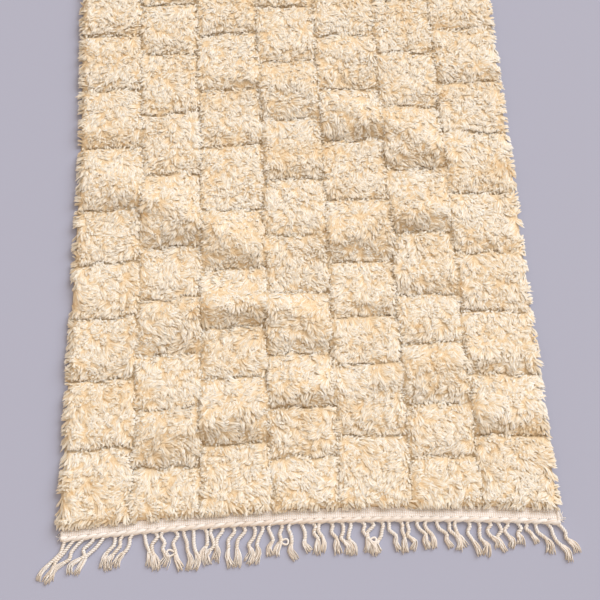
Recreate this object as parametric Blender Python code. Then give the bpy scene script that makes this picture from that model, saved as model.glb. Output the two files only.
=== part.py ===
"""A hand-knotted wool rug with carved squares, lying flat on the floor in a few soft folds.

Metres, +Z up. The width runs along X and the length along Y, with a fringe at both ends.
The origin is the centre of the footprint, on the floor. The solids are the pile field (ground
cloth and pile together), a flat-woven heading, a twined edge and a comb of fringe at each end.
"""

import math

import bmesh
import bpy

# Driving dimensions
FIELD_WIDTH = 1.000
FIELD_LENGTH = 1.500
FIELD_THICKNESS = 0.024
SHOULDER_DROP = 0.009
SHOULDER_WIDTH = 0.012
UNDERSIDE_INSET = 0.003

COLUMNS = 7
COLUMN_LINES = (0.0, 0.148, 0.283, 0.425, 0.562, 0.705, 0.843, 1.0)
GROOVE_DEPTH = 0.007
GROOVE_HALF_WIDTH = 0.006
ROWS_PER_SQUARE = 6

HEADING_THICKNESS = 0.003
HEADING_WIDTH_LEFT = 0.012
HEADING_WIDTH_RIGHT = 0.018
HEADING_LEFT = -0.497
HEADING_RIGHT = 0.512
TWINED_DIAMETER = 0.0085
END_SEGMENTS = 14

STRANDS = 51
STRAND_PITCH = 0.0198
STRAND_WIDTH = 0.0066
TASSEL_WIDTH = 0.0086
STRAND_HEIGHT = 0.006
TIP_HEIGHT = 0.003
SPINE_WIDTH = 0.003
TWIST_SHARE = 0.6
SWAY = 0.003
TUFT_STEP = 0.0125
TUFT_ROUNDING = 0.006

CLEARANCE = 0.0003
FLAT_ANGLE = math.radians(0.5)

# How far the two ends bow: the corners stand out past the middle by this much
NEAR_BOW = 0.020
FAR_BOW = 0.006

# Where the carved grooves cross each column, measured from the near end of the pile.
# The columns run from left to right, and every other one is dropped by about half a square.
GROOVES = {
    "column_1": (0.160, 0.310, 0.450, 0.580, 0.710, 0.870, 1.025, 1.180, 1.335),
    "column_2": (0.110, 0.235, 0.355, 0.485, 0.610, 0.795, 0.955, 1.125, 1.265, 1.410),
    "column_3": (0.150, 0.295, 0.410, 0.550, 0.695, 0.865, 1.015, 1.175, 1.330),
    "column_4": (0.115, 0.220, 0.345, 0.485, 0.625, 0.770, 0.930, 1.090, 1.250, 1.400),
    "column_5": (0.155, 0.315, 0.425, 0.555, 0.710, 0.865, 1.005, 1.160, 1.320),
    "column_6": (0.110, 0.225, 0.360, 0.475, 0.625, 0.790, 0.955, 1.105, 1.260, 1.410),
    "column_7": (0.155, 0.290, 0.435, 0.575, 0.720, 0.880, 1.020, 1.170, 1.325),
}

# Soft folds: each is a low ridge from one point to another, bowed along the rug in the middle.
# x and along give its ends, along from the near end of the pile as above.
FOLD_COLUMNS = ("x_from", "along_from", "x_to", "along_to", "bow", "height", "half_width")
FOLDS = (
    (-0.48, 0.800, -0.03, 0.570, 0.000, 0.013, 0.090),
    (-0.05, 0.580, 0.42, 0.710, 0.000, 0.013, 0.075),
    (0.05, 0.960, 0.41, 0.800, 0.020, 0.012, 0.085),
    (-0.42, 0.385, 0.13, 0.390, 0.070, 0.012, 0.070),
    (-0.40, 0.155, 0.13, 0.300, -0.010, 0.014, 0.075),
    (0.08, 0.265, 0.43, 0.325, 0.010, 0.009, 0.060),
    (0.33, 0.195, 0.47, 0.225, 0.000, 0.006, 0.050),
    (-0.14, 1.020, 0.12, 1.020, 0.010, 0.009, 0.075),
    (0.04, 1.105, 0.26, 1.100, 0.010, 0.006, 0.060),
)

# How far each side wanders out (+) or in (-) of the straight line
SIDE_COLUMNS = ("along", "left", "right")
SIDES = (
    (0.00, 0.009, 0.018),
    (0.15, 0.003, 0.013),
    (0.45, -0.001, 0.010),
    (0.80, -0.007, 0.008),
    (0.90, -0.007, 0.005),
    (1.25, 0.001, 0.001),
    (1.50, 0.003, 0.004),
)

# The cords of the near fringe fall in tufts: how many cords, and where their tassels end.
# x is across the rug and reach is how far the tuft ends past the near end of the pile.
TUFT_COLUMNS = ("cords", "x", "reach")
NEAR_TUFTS = (
    (3, -0.525, 0.122),
    (2, -0.470, 0.110),
    (3, -0.400, 0.102),
    (3, -0.304, 0.105),
    (1, -0.254, 0.106),
    (2, -0.234, 0.110),
    (3, -0.200, 0.098),
    (2, -0.148, 0.109),
    (2, -0.116, 0.102),
    (2, -0.072, 0.088),
    (1, -0.026, 0.094),
    (3, 0.016, 0.087),
    (1, 0.060, 0.087),
    (2, 0.086, 0.092),
    (3, 0.132, 0.092),
    (3, 0.196, 0.090),
    (2, 0.249, 0.086),
    (3, 0.302, 0.088),
    (2, 0.350, 0.104),
    (3, 0.396, 0.094),
    (1, 0.428, 0.082),
    (1, 0.462, 0.080),
    (1, 0.486, 0.101),
    (1, 0.521, 0.118),
    (1, 0.541, 0.101),
)
FAR_TUFTS = (
    (2, -0.519, 0.106),
    (3, -0.452, 0.116),
    (1, -0.402, 0.092),
    (3, -0.356, 0.104),
    (2, -0.300, 0.112),
    (3, -0.246, 0.098),
    (3, -0.186, 0.110),
    (1, -0.150, 0.084),
    (2, -0.118, 0.108),
    (3, -0.068, 0.100),
    (2, -0.018, 0.114),
    (3, 0.036, 0.104),
    (1, 0.076, 0.088),
    (3, 0.118, 0.112),
    (2, 0.168, 0.098),
    (3, 0.220, 0.108),
    (2, 0.270, 0.092),
    (3, 0.322, 0.112),
    (1, 0.364, 0.100),
    (3, 0.412, 0.104),
    (2, 0.470, 0.122),
    (3, 0.521, 0.100),
)


def material(name, colour, roughness):
    """A plain finish of one colour."""
    made = bpy.data.materials.new(name)
    made.use_nodes = True
    shader = made.node_tree.nodes["Principled BSDF"]
    shader.inputs["Base Color"].default_value = (*colour, 1.0)
    shader.inputs["Roughness"].default_value = roughness
    shader.inputs["Metallic"].default_value = 0.0
    return made


def between(table, value, column):
    """Read one column of a table at a value of its first column, straight between its rows."""
    for low, high in zip(table, table[1:]):
        if value <= high[0]:
            share = max(0.0, (value - low[0]) / (high[0] - low[0]))
            return low[column] + share * (high[column] - low[column])
    return table[-1][column]


def ease(share):
    """0 to 1, level at both ends."""
    share = min(1.0, max(0.0, share))
    return share * share * (3.0 - 2.0 * share)


def fold_lift(x, along):
    """How high the folds lift the cloth off the floor at one place."""
    lift = 0.0
    for row in FOLDS:
        fold = dict(zip(FOLD_COLUMNS, row))
        run = (x - fold["x_from"]) / (fold["x_to"] - fold["x_from"])
        if not 0.0 < run < 1.0:
            continue
        crest = fold["along_from"] + run * (fold["along_to"] - fold["along_from"])
        crest += fold["bow"] * 4.0 * run * (1.0 - run)
        across = abs(along - crest) / fold["half_width"]
        if across < 1.0:
            fade = ease(4.0 * run) * ease(4.0 * (1.0 - run))
            lift += fold["height"] * fade * math.cos(across * math.pi / 2.0) ** 2
    return lift


def side(across, along):
    """X of the place that is across (0 left, 1 right) the field, at a distance along it."""
    left = -FIELD_WIDTH / 2.0 - between(SIDES, along, SIDE_COLUMNS.index("left"))
    right = FIELD_WIDTH / 2.0 + between(SIDES, along, SIDE_COLUMNS.index("right"))
    return left + across * (right - left)


def bowed(x, bow):
    """How far the corners' bow pushes an end out at this x."""
    return bow * (2.0 * x / FIELD_WIDTH) ** 2


def heading_width(x):
    """The heading shows a little wider towards the right."""
    share = x / FIELD_WIDTH + 0.5
    return HEADING_WIDTH_LEFT + share * (HEADING_WIDTH_RIGHT - HEADING_WIDTH_LEFT)


def near_pile_end(x):
    """Y of the near end of the pile, which draws back where the heading is wider."""
    slant = heading_width(x) - HEADING_WIDTH_LEFT
    return -FIELD_LENGTH / 2.0 - bowed(x, NEAR_BOW) + slant


def far_pile_end(x):
    """Y of the far end of the pile."""
    return FIELD_LENGTH / 2.0 + bowed(x, FAR_BOW)


def square_rows(begin, end, rows):
    """Places along one square: its two grooves, the lips beside them and the rows between."""
    low = begin + GROOVE_HALF_WIDTH
    high = end - GROOVE_HALF_WIDTH
    steps = rows - 2
    return [begin] + [low + (high - low) * step / steps for step in range(steps + 1)]


def column_rows(grooves, first_rows, last_rows):
    """Every row of one column, from the near end of the pile to the far end."""
    stops = (0.0, *grooves, FIELD_LENGTH)
    counts = [first_rows] + [ROWS_PER_SQUARE] * (len(grooves) - 1) + [last_rows]
    rows = []
    for begin, end, count in zip(stops, stops[1:], counts):
        rows += square_rows(begin, end, count)
    return rows + [FIELD_LENGTH]


def field_lines():
    """The lines that run along the rug: share of the width, column and how deep the groove is."""
    lines = [(0.0, 0, "side")]
    lip = GROOVE_HALF_WIDTH / FIELD_WIDTH
    shoulder = SHOULDER_WIDTH / FIELD_WIDTH
    for column, (begin, end) in enumerate(zip(COLUMN_LINES, COLUMN_LINES[1:])):
        left = begin + (shoulder if column == 0 else lip)
        right = end - (shoulder if column == COLUMNS - 1 else lip)
        lines += [(share, column, "pile") for share in (left, (begin + end) / 2.0, right)]
        lines.append((end, column, "side" if column == COLUMNS - 1 else "groove"))
    return lines


def plate(x_segments, y_segments, place):
    """A closed plate: place(i, j, top) gives each corner of the grid on its top or underside."""
    mesh = bmesh.new()
    bmesh.ops.create_grid(mesh, x_segments=x_segments, y_segments=y_segments, size=1.0)

    def grid_corner(vert):
        i = round((vert.co.x + 1.0) / 2.0 * x_segments)
        j = round((vert.co.y + 1.0) / 2.0 * y_segments)
        return i, j

    corners = {vert: grid_corner(vert) for vert in mesh.verts}
    copied = bmesh.ops.extrude_face_region(mesh, geom=list(mesh.faces))["geom"]
    under = [item for item in copied if isinstance(item, bmesh.types.BMVert)]
    for vert in under:
        vert.co = place(*grid_corner(vert), False)
    for vert, corner in corners.items():
        vert.co = place(*corner, True)
    bmesh.ops.recalc_face_normals(mesh, faces=mesh.faces)
    beneath = set(under)
    inner = [edge for edge in mesh.edges if beneath.issuperset(edge.verts)]
    bmesh.ops.dissolve_limit(mesh, angle_limit=FLAT_ANGLE, verts=under, edges=inner)
    return mesh


def finish(name, mesh, finish_material):
    """Turn a bmesh into a named object of one material."""
    bmesh.ops.triangulate(mesh, faces=mesh.faces)
    data = bpy.data.meshes.new(name)
    mesh.to_mesh(data)
    mesh.free()
    data.materials.append(finish_material)
    made = bpy.data.objects.new(name, data)
    bpy.context.scene.collection.objects.link(made)


def pile_field(wool):
    """Ground cloth and pile as one solid, with its carved squares, folds and wandering sides."""
    half = ROWS_PER_SQUARE // 2
    plain = [column_rows(GROOVES[f"column_{c + 1}"], ROWS_PER_SQUARE, ROWS_PER_SQUARE)
             for c in range(0, COLUMNS, 2)]
    dropped = [column_rows(GROOVES[f"column_{c + 1}"], half, half) for c in range(1, COLUMNS, 2)]
    rows = [None] * COLUMNS
    rows[0::2] = plain
    rows[1::2] = dropped
    lines = field_lines()
    last = len(rows[0]) - 1

    def place(i, j, top):
        share, column, kind = lines[i]
        along = rows[column][j]
        if kind == "groove":
            along = (along + rows[column + 1][j]) / 2.0
        x = side(share, along)
        near = near_pile_end(x)
        y = near + (far_pile_end(x) - near) * along / FIELD_LENGTH
        lift = fold_lift(x, along)
        at_end = j in (0, last)
        if not top:
            x -= math.copysign(UNDERSIDE_INSET, x) if kind == "side" else 0.0
            return (x, y, lift)
        drop = 0.0
        cut_across = j % ROWS_PER_SQUARE == (0 if column % 2 == 0 else half)
        if kind == "groove" or cut_across:
            drop = GROOVE_DEPTH
        if kind == "side" or at_end:
            drop = SHOULDER_DROP
        return (x, y, lift + FIELD_THICKNESS - drop)

    finish("pile_field", plate(len(lines) - 1, last, place), wool)


def heading(name, pile_end, outward, wool):
    """The flat-woven strip beyond the pile, on the floor."""
    def place(i, j, top):
        x = HEADING_LEFT + (HEADING_RIGHT - HEADING_LEFT) * i / END_SEGMENTS
        y = pile_end(x) + outward * (CLEARANCE + j * heading_width(x))
        return (x, y, HEADING_THICKNESS if top else 0.0)

    finish(name, plate(END_SEGMENTS, 1, place), wool)


def heading_end(pile_end, outward, x):
    """Y of the heading's outer edge."""
    return pile_end(x) + outward * (CLEARANCE + heading_width(x))


def twined_edge(name, pile_end, outward, wool):
    """The cord that locks the heading, a round bar along its outer edge."""
    curve = bpy.data.curves.new(name, "CURVE")
    curve.dimensions = "3D"
    curve.bevel_depth = TWINED_DIAMETER / 2.0
    curve.bevel_resolution = 2
    curve.use_fill_caps = True
    line = curve.splines.new("POLY")
    line.points.add(END_SEGMENTS)
    for i, point in enumerate(line.points):
        x = HEADING_LEFT + (HEADING_RIGHT - HEADING_LEFT) * i / END_SEGMENTS
        y = heading_end(pile_end, outward, x) + outward * (CLEARANCE + TWINED_DIAMETER / 2.0)
        point.co = (x, y, TWINED_DIAMETER / 2.0, 1.0)
    curve.materials.append(wool)
    made = bpy.data.objects.new(name, curve)
    bpy.context.scene.collection.objects.link(made)


def tassel_ends(tufts):
    """Where each cord's tassel ends: x and reach, side by side within its tuft."""
    ends = []
    for row in tufts:
        tuft = dict(zip(TUFT_COLUMNS, row))
        for k in range(tuft["cords"]):
            offset = k - (tuft["cords"] - 1) / 2.0
            reach = tuft["reach"] - TUFT_ROUNDING * abs(offset)
            ends.append((tuft["x"] + TUFT_STEP * offset, reach))
    return ends


def fringe(name, tufts, pile_end, outward, wool):
    """One comb: a narrow spine along the twined edge, with a bent tooth for each cord."""
    ends = tassel_ends(tufts)
    slots = 2 * STRANDS - 1
    low = (HEADING_LEFT + HEADING_RIGHT - STRAND_PITCH * (STRANDS - 1)) / 2.0

    def spine_x(i):
        strand, right_side = divmod(i, 2)
        return low + strand * STRAND_PITCH + (right_side - 0.5) * STRAND_WIDTH

    def root_y(x):
        return heading_end(pile_end, outward, x) + outward * (TWINED_DIAMETER + 2.0 * CLEARANCE)

    def place(i, j, top):
        x = spine_x(i)
        return (x, root_y(x) + outward * j * SPINE_WIDTH, STRAND_HEIGHT if top else 0.0)

    comb = plate(slots, 1, place)
    for strand in range(STRANDS):
        root_x = low + strand * STRAND_PITCH
        face = outer_face(comb, root_x, root_y(root_x) + outward * SPINE_WIDTH)
        grow_tooth(comb, face, strand, ends[strand], outward)
    bmesh.ops.recalc_face_normals(comb, faces=comb.faces)
    finish(name, comb, wool)


def outer_face(mesh, x, y):
    """The spine's outer face at one cord's root."""
    def distance(face):
        middle = face.calc_center_median()
        return abs(middle.x - x) + abs(middle.y - y) + abs(middle.z - STRAND_HEIGHT / 2.0)
    upright = [face for face in mesh.faces if abs(face.normal.z) < 0.5 and len(face.verts) == 4]
    return min(upright, key=distance)


def grow_tooth(mesh, face, strand, end, outward):
    """Draw one cord out of the spine: its twisted length with a sway, then its tassel."""
    root = face.calc_center_median()
    end_x, reach = end
    end_y = outward * (FIELD_LENGTH / 2.0 + reach)
    sway = SWAY * math.sin(2.4 * strand)
    twist_x = root.x + (end_x - root.x) * TWIST_SHARE + sway
    twist_y = root.y + (end_y - root.y) * TWIST_SHARE
    stops = (
        (twist_x, twist_y, STRAND_WIDTH, STRAND_HEIGHT),
        (end_x, end_y, TASSEL_WIDTH, TIP_HEIGHT),
    )
    for x, y, width, height in stops:
        grown = bmesh.ops.extrude_discrete_faces(mesh, faces=[face])["faces"][0]
        middle = grown.calc_center_median()
        for vert in grown.verts:
            sideways = math.copysign(width / 2.0, vert.co.x - middle.x)
            up = height if vert.co.z > middle.z else 0.0
            vert.co = (x + sideways, y, up)
        face = grown


def build():
    """Clear the scene and make the rug."""
    for item in list(bpy.data.objects):
        bpy.data.objects.remove(item)
    ivory = material("ivory_wool_pile", (0.86, 0.74, 0.56), 0.95)
    natural = material("natural_wool_weave", (0.88, 0.82, 0.72), 0.9)
    twined = material("twined_wool", (0.90, 0.85, 0.76), 0.9)
    warp = material("warp_fringe", (0.88, 0.82, 0.72), 0.9)
    pile_field(ivory)
    ends = (("near", near_pile_end, -1.0, NEAR_TUFTS), ("far", far_pile_end, 1.0, FAR_TUFTS))
    for label, pile_end, outward, tufts in ends:
        heading(f"heading_{label}", pile_end, outward, natural)
        twined_edge(f"twined_edge_{label}", pile_end, outward, twined)
        fringe(f"fringe_{label}", tufts, pile_end, outward, warp)


build()
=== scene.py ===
import math

import bmesh
import bpy
import numpy as np
from mathutils import Matrix, Vector, bvhtree, kdtree


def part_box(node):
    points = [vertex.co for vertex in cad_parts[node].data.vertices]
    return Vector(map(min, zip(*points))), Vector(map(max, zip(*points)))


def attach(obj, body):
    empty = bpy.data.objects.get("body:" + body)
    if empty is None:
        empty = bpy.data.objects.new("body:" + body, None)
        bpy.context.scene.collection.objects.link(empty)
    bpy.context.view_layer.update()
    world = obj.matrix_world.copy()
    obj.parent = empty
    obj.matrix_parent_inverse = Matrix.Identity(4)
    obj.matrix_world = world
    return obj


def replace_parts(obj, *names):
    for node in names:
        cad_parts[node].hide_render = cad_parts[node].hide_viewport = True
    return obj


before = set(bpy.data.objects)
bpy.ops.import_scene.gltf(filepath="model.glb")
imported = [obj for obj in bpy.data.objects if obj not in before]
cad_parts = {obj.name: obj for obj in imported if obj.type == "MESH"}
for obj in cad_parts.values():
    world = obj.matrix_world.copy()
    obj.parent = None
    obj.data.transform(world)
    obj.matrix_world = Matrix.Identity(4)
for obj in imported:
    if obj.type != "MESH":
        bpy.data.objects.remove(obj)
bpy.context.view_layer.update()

# Ground cloth. A plain wool cloth of warp and weft, woven together with the rows of knots that it
# holds. It lies on the floor, lifts where the rug is rucked into folds, and shows only beneath.

READ_STEP = 0.0025
READ_MARGIN = 0.03
SIDE_HEIGHT = 0.008
FOLD_SOFTNESS = 0.016
CLOTH_THICKNESS = 0.003
CLOTH_COLUMNS = 36
CLOTH_ROWS = 54
CLOTH_INSET = 0.004
FAR_OFF = 5.0

# A wave texture turns through this angle for each unit of its scale
WAVE_PACE = 20.0

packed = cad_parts["pile_field"].data
field_tree = bvhtree.BVHTree.FromPolygons(
    [vert.co for vert in packed.vertices], [tuple(face.vertices) for face in packed.polygons])
field_low, field_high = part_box("pile_field")
read_x = np.arange(field_low.x - READ_MARGIN, field_high.x + READ_MARGIN, READ_STEP)
read_y = np.arange(field_low.y - READ_MARGIN, field_high.y + READ_MARGIN, READ_STEP)


def first_hit(origin, direction):
    """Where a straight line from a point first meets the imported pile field."""
    return field_tree.ray_cast(Vector(origin), Vector(direction))[0]


def read_surface(start, direction):
    """Height of the field's top or underside at every place that is read, 0 beyond its outline."""
    heights = np.zeros((len(read_y), len(read_x)))
    for j, y in enumerate(read_y):
        for i, x in enumerate(read_x):
            hit = first_hit((x, y, start), direction)
            heights[j, i] = hit.z if hit else 0.0
    return heights


def softened(heights, size):
    """The same heights with everything smaller than this size smoothed away."""
    reach = int(2 * size / READ_STEP)
    bell = np.exp(-0.5 * (np.arange(-reach, reach + 1) * READ_STEP / size) ** 2)
    bell /= bell.sum()
    smooth = np.apply_along_axis(np.convolve, 0, heights, bell, "same")
    return np.apply_along_axis(np.convolve, 1, smooth, bell, "same")


def read_at(heights, x, y):
    """Heights between the places that were read."""
    across = np.clip((x - read_x[0]) / READ_STEP, 0, len(read_x) - 1.001)
    along = np.clip((y - read_y[0]) / READ_STEP, 0, len(read_y) - 1.001)
    i, j = across.astype(int), along.astype(int)
    u, v = across - i, along - j
    low = heights[j, i] * (1 - u) + heights[j, i + 1] * u
    high = heights[j + 1, i] * (1 - u) + heights[j + 1, i + 1] * u
    return low * (1 - v) + high * v


underside = read_surface(-FAR_OFF, (0, 0, 1))
thickness = read_surface(FAR_OFF, (0, 0, -1)) - underside
fold_lift = softened(underside, FOLD_SOFTNESS)
mesh_x, mesh_y = np.meshgrid(read_x, read_y)

inner_y = read_y[(read_y > field_low.y + READ_MARGIN) & (read_y < field_high.y - READ_MARGIN)]
inner_x = read_x[(read_x > field_low.x + READ_MARGIN) & (read_x < field_high.x - READ_MARGIN)]
left_edge = [first_hit((-FAR_OFF, y, SIDE_HEIGHT), (1, 0, 0)).x for y in inner_y]
right_edge = [first_hit((FAR_OFF, y, SIDE_HEIGHT), (-1, 0, 0)).x for y in inner_y]
near_edge = [first_hit((x, -FAR_OFF, SIDE_HEIGHT), (0, 1, 0)).y for x in inner_x]
far_edge = [first_hit((x, FAR_OFF, SIDE_HEIGHT), (0, -1, 0)).y for x in inner_x]


def edges_at(x, y):
    """Left, right, near and far edge of the pile beside these places."""
    left = np.interp(y, inner_y, left_edge)
    right = np.interp(y, inner_y, right_edge)
    near = np.interp(x, inner_x, near_edge)
    far = np.interp(x, inner_x, far_edge)
    return left, right, near, far


def on_field(u, v, inset):
    """The place that is a share u across and v along the pile, kept inside its outline."""
    y = field_low.y + v * (field_high.y - field_low.y)
    for _ in range(3):
        left, right, _, _ = edges_at(0.0, y)
        x = left + inset + u * (right - left - 2 * inset)
        _, _, near, far = edges_at(x, 0.0)
        y = near + inset + v * (far - near - 2 * inset)
    return x, y


def lay_grid(mesh, columns, rows, inset):
    """Add a grid that covers the field inside its outline, its corners at height 0."""
    made = bmesh.ops.create_grid(mesh, x_segments=columns, y_segments=rows, size=0.5)["verts"]
    share = np.array([vert.co for vert in made]) + 0.5
    for vert, place in zip(made, zip(*on_field(share[:, 0], share[:, 1], inset))):
        vert.co = (*place, 0.0)
    return made


def raise_to(verts, height):
    """Lift each corner to its height, given as a function of x and y."""
    x, y, _ = np.array([vert.co for vert in verts]).T
    for vert, z in zip(verts, height(x, y)):
        vert.co.z = z


def slab_between(columns, rows, coarser, inset, top, underside):
    """A closed body over the field: a fine upper face, a coarser lower one and walls between."""
    body = bmesh.new()
    raise_to(lay_grid(body, columns, rows, inset), top)
    raise_to(lay_grid(body, columns // coarser, rows // coarser, inset), underside)
    rims = [edge for edge in body.edges if edge.is_boundary]
    bmesh.ops.bridge_loops(body, edges=rims)
    bmesh.ops.recalc_face_normals(body, faces=body.faces)
    return body


def piece_from(mesh, name, finish):
    """Make a named piece of a bmesh, with one finish."""
    data = bpy.data.meshes.new(name)
    mesh.to_mesh(data)
    mesh.free()
    return piece_of(data, name, finish)


def piece_of(data, name, finish):
    """Make a named piece of mesh data, with one finish, riding on the rug's only body."""
    data.materials.append(finish)
    data.shade_smooth()
    made = bpy.data.objects.new(name, data)
    bpy.context.scene.collection.objects.link(made)
    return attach(made, "root")


def tint(red, green, blue):
    """A colour as it is seen, 0 to 255, as the light values that a shader takes."""
    seen = np.array((red, green, blue)) / 255.0
    light = np.where(seen < 0.04045, seen / 12.92, ((seen + 0.055) / 1.055) ** 2.4)
    return (*light.tolist(), 1.0)


def new_finish(name, colour, roughness, sheen):
    """A matt, slightly silky wool finish, with its nodes and shader to build on."""
    finish = bpy.data.materials.new(name)
    finish.use_nodes = True
    shader = finish.node_tree.nodes["Principled BSDF"]
    shader.inputs["Base Color"].default_value = colour
    shader.inputs["Roughness"].default_value = roughness
    shader.inputs["Sheen Weight"].default_value = sheen
    shader.inputs["Sheen Roughness"].default_value = 0.45
    shader.inputs["Specular IOR Level"].default_value = 0.2
    return finish, finish.node_tree, shader


def woven(tree, shader, rib_across, rib_along, height, dark, light):
    """Weave of fine ribs: a wave across and a wave along, in the height and in the colour. The
    colour is darker in the hollows between the ribs, painted shade there.
    """
    place = tree.nodes.new("ShaderNodeTexCoord").outputs["Object"]
    waves = []
    for direction, rib in (("X", rib_across), ("Y", rib_along)):
        wave = tree.nodes.new("ShaderNodeTexWave")
        wave.bands_direction = direction
        wave.inputs["Scale"].default_value = math.tau / (WAVE_PACE * rib)
        wave.inputs["Distortion"].default_value = 1.2
        wave.inputs["Detail Scale"].default_value = 3.0
        tree.links.new(place, wave.inputs["Vector"])
        waves.append(wave.outputs["Fac"])
    crossed = tree.nodes.new("ShaderNodeMath")
    crossed.operation = "MULTIPLY"
    tree.links.new(waves[0], crossed.inputs[0])
    tree.links.new(waves[1], crossed.inputs[1])
    # The colour follows the waves of the height, so the hollows between the ribs get painted shade
    shade = tree.nodes.new("ShaderNodeValToRGB")
    shade.color_ramp.elements[0].color = dark
    shade.color_ramp.elements[1].color = light
    shade.color_ramp.elements[1].position = 0.55
    tree.links.new(crossed.outputs[0], shade.inputs["Fac"])
    tree.links.new(shade.outputs["Color"], shader.inputs["Base Color"])
    bump = tree.nodes.new("ShaderNodeBump")
    bump.inputs["Distance"].default_value = height
    bump.inputs["Strength"].default_value = 0.8
    tree.links.new(crossed.outputs[0], bump.inputs["Height"])
    tree.links.new(bump.outputs["Normal"], shader.inputs["Normal"])


cloth_finish, tree, shader = new_finish("ground_wool", tint(222, 205, 175), 0.9, 0.2)
# The dark colour is painted shade in the hollows between the ribs
woven(tree, shader, rib_across=0.0028, rib_along=0.0022, height=0.0006,
      dark=tint(184, 160, 126), light=tint(236, 222, 196))

cloth = slab_between(
    CLOTH_COLUMNS, CLOTH_ROWS, 1, CLOTH_INSET,
    lambda x, y: read_at(fold_lift, x, y) + CLOTH_THICKNESS,
    lambda x, y: read_at(fold_lift, x, y))
ground_cloth = piece_from(cloth, "ground_cloth", cloth_finish)
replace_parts(ground_cloth, "pile_field")

# Bed of knots. The lower part of the pile, where the wool of neighbouring knots is packed so
# close that no single lock shows. It sinks into the carved grooves and rounds off at the edges.

COLUMNS = 7
COLUMN_LINES = np.array((0.0, 0.148, 0.283, 0.425, 0.562, 0.705, 0.843, 1.0))
BED_COLUMNS = COLUMNS * 20
BED_ROWS = 208
BED_INSET = 0.006
BED_HEIGHT = 0.0190
BED_EDGE_HEIGHT = 0.009
BED_FOOT = 0.8
BED_SINK = 0.0015
LONG_DEPTH = 0.0065
LONG_REACH = 0.0055
CROSS_DEPTH = 0.0095
CROSS_REACH = 0.0065
NEAR_ROLL = 0.042
NEAR_DROP = 0.0026
FAR_ROLL = 0.050
FAR_DROP = 0.0026
ROLL_DROP = 0.0052
ROLL_RISE = 0.0042
ROLL_CREST = 1.1
FIFTHS = 5
ROLL_SOFTNESS = 0.003
EDGE_REACH = 0.011

# The carved lines are where the field is thinner than a groove's core, thicker than the floor of
# the pile and inside the rounded shoulder of the outline. Those within a line's width of a
# column's edge run along the rug and the others across it, and all of them wander a little
GROOVE_CORE = 0.0185
PILE_FLOOR = 0.004
SHOULDER = 0.0126
LINE_WIDTH = 0.003
GROOVE_WANDER = 0.0025

# The pile is pressed into creases along the folds. Each runs from one place to another, given
# across the rug and along it from the near end of the pile, and has a bow in the middle and a
# height. It drops steeply on the near side of its crest and gently on the far side, and it fades
# towards the outline
CREASE_FAR = 0.060
CREASE_NEAR = 0.040
CREASE_FADE = 0.05
CREASES = (
    (-0.48, 0.800, -0.03, 0.570, 0.000, 0.0060),
    (-0.05, 0.580, 0.42, 0.710, 0.000, 0.0060),
    (0.05, 0.960, 0.41, 0.800, 0.020, 0.0055),
    (-0.42, 0.385, 0.13, 0.390, 0.070, 0.0060),
    (-0.40, 0.155, 0.13, 0.300, -0.010, 0.0065),
    (0.08, 0.265, 0.43, 0.325, 0.010, 0.0045),
    (0.33, 0.195, 0.49, 0.225, 0.000, 0.0025),
    (-0.14, 1.020, 0.12, 1.020, 0.010, 0.0030),
    (0.04, 1.105, 0.26, 1.100, 0.010, 0.0030),
)

# How far each square rolls over its near edge, in fifths of the most that any does, because the
# folds settle into the carved lines: one row for each column, from the near end to the far end
ROLLS = (
    (0, 1, 3, 1, 1, 2, 2, 1, 2, 1),
    (0, 2, 1, 4, 2, 5, 1, 1, 2, 1, 1),
    (0, 5, 1, 4, 5, 1, 2, 2, 2, 1),
    (0, 1, 4, 4, 1, 1, 4, 3, 2, 1, 1),
    (0, 2, 1, 4, 4, 1, 5, 2, 1, 1),
    (0, 1, 3, 1, 4, 5, 5, 2, 1, 1, 1),
    (0, 3, 4, 1, 2, 2, 1, 3, 1, 1),
)


def drift(x, y, size, seed):
    """Smooth random wander between about -1 and 1, in swells of about this size."""
    rng = np.random.default_rng(seed)
    total = np.zeros(np.shape(x))
    for _ in range(7):
        angle, phase = rng.uniform(0, math.tau, 2)
        pace = math.tau * rng.uniform(0.6, 1.5) / size
        total += np.sin((x * math.cos(angle) + y * math.sin(angle)) * pace + phase)
    return total / 2.6


def eased(share):
    """0 to 1, level at both ends."""
    share = np.clip(share, 0.0, 1.0)
    return share * share * (3.0 - 2.0 * share)


def inside_by(x, y):
    """How far inside the outline these places are, and the way out to the nearest edge."""
    left, right, near, far = edges_at(x, y)
    gaps = np.stack([x - left, right - x, y - near, far - y])
    nearest = gaps.argmin(0)
    out = np.array([(-1, 0), (1, 0), (0, -1), (0, 1)], float)[nearest]
    return gaps.min(0), out


def columns_left_of(x, y):
    """How many columns lie left of these places, a whole number on each carved line."""
    left, right, _, _ = edges_at(x, y)
    return np.interp((x - left) / (right - left), COLUMN_LINES, np.arange(COLUMNS + 1))


depth_in, _ = inside_by(mesh_x, mesh_y)
in_groove = (thickness < GROOVE_CORE) & (thickness > PILE_FLOOR) & (depth_in > SHOULDER)
column_share = columns_left_of(mesh_x, mesh_y)
off_line = np.abs(column_share - column_share.round()) * (field_high.x - field_low.x) / COLUMNS
along_rug = in_groove & (off_line < LINE_WIDTH)
across_rug = in_groove & ~along_rug


def groove_lines(marked):
    """A search tree of the places on the carved lines, each let wander a little."""
    x, y = mesh_x[marked], mesh_y[marked]
    moved_x = x + GROOVE_WANDER * drift(x, y, 0.08, 1)
    moved_y = y + GROOVE_WANDER * drift(x, y, 0.07, 2)
    tree = kdtree.KDTree(len(x))
    for k, spot in enumerate(zip(moved_x, moved_y)):
        tree.insert((*spot, 0), k)
    tree.balance()
    return tree


long_lines, cross_lines = groove_lines(along_rug), groove_lines(across_rug)


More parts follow.
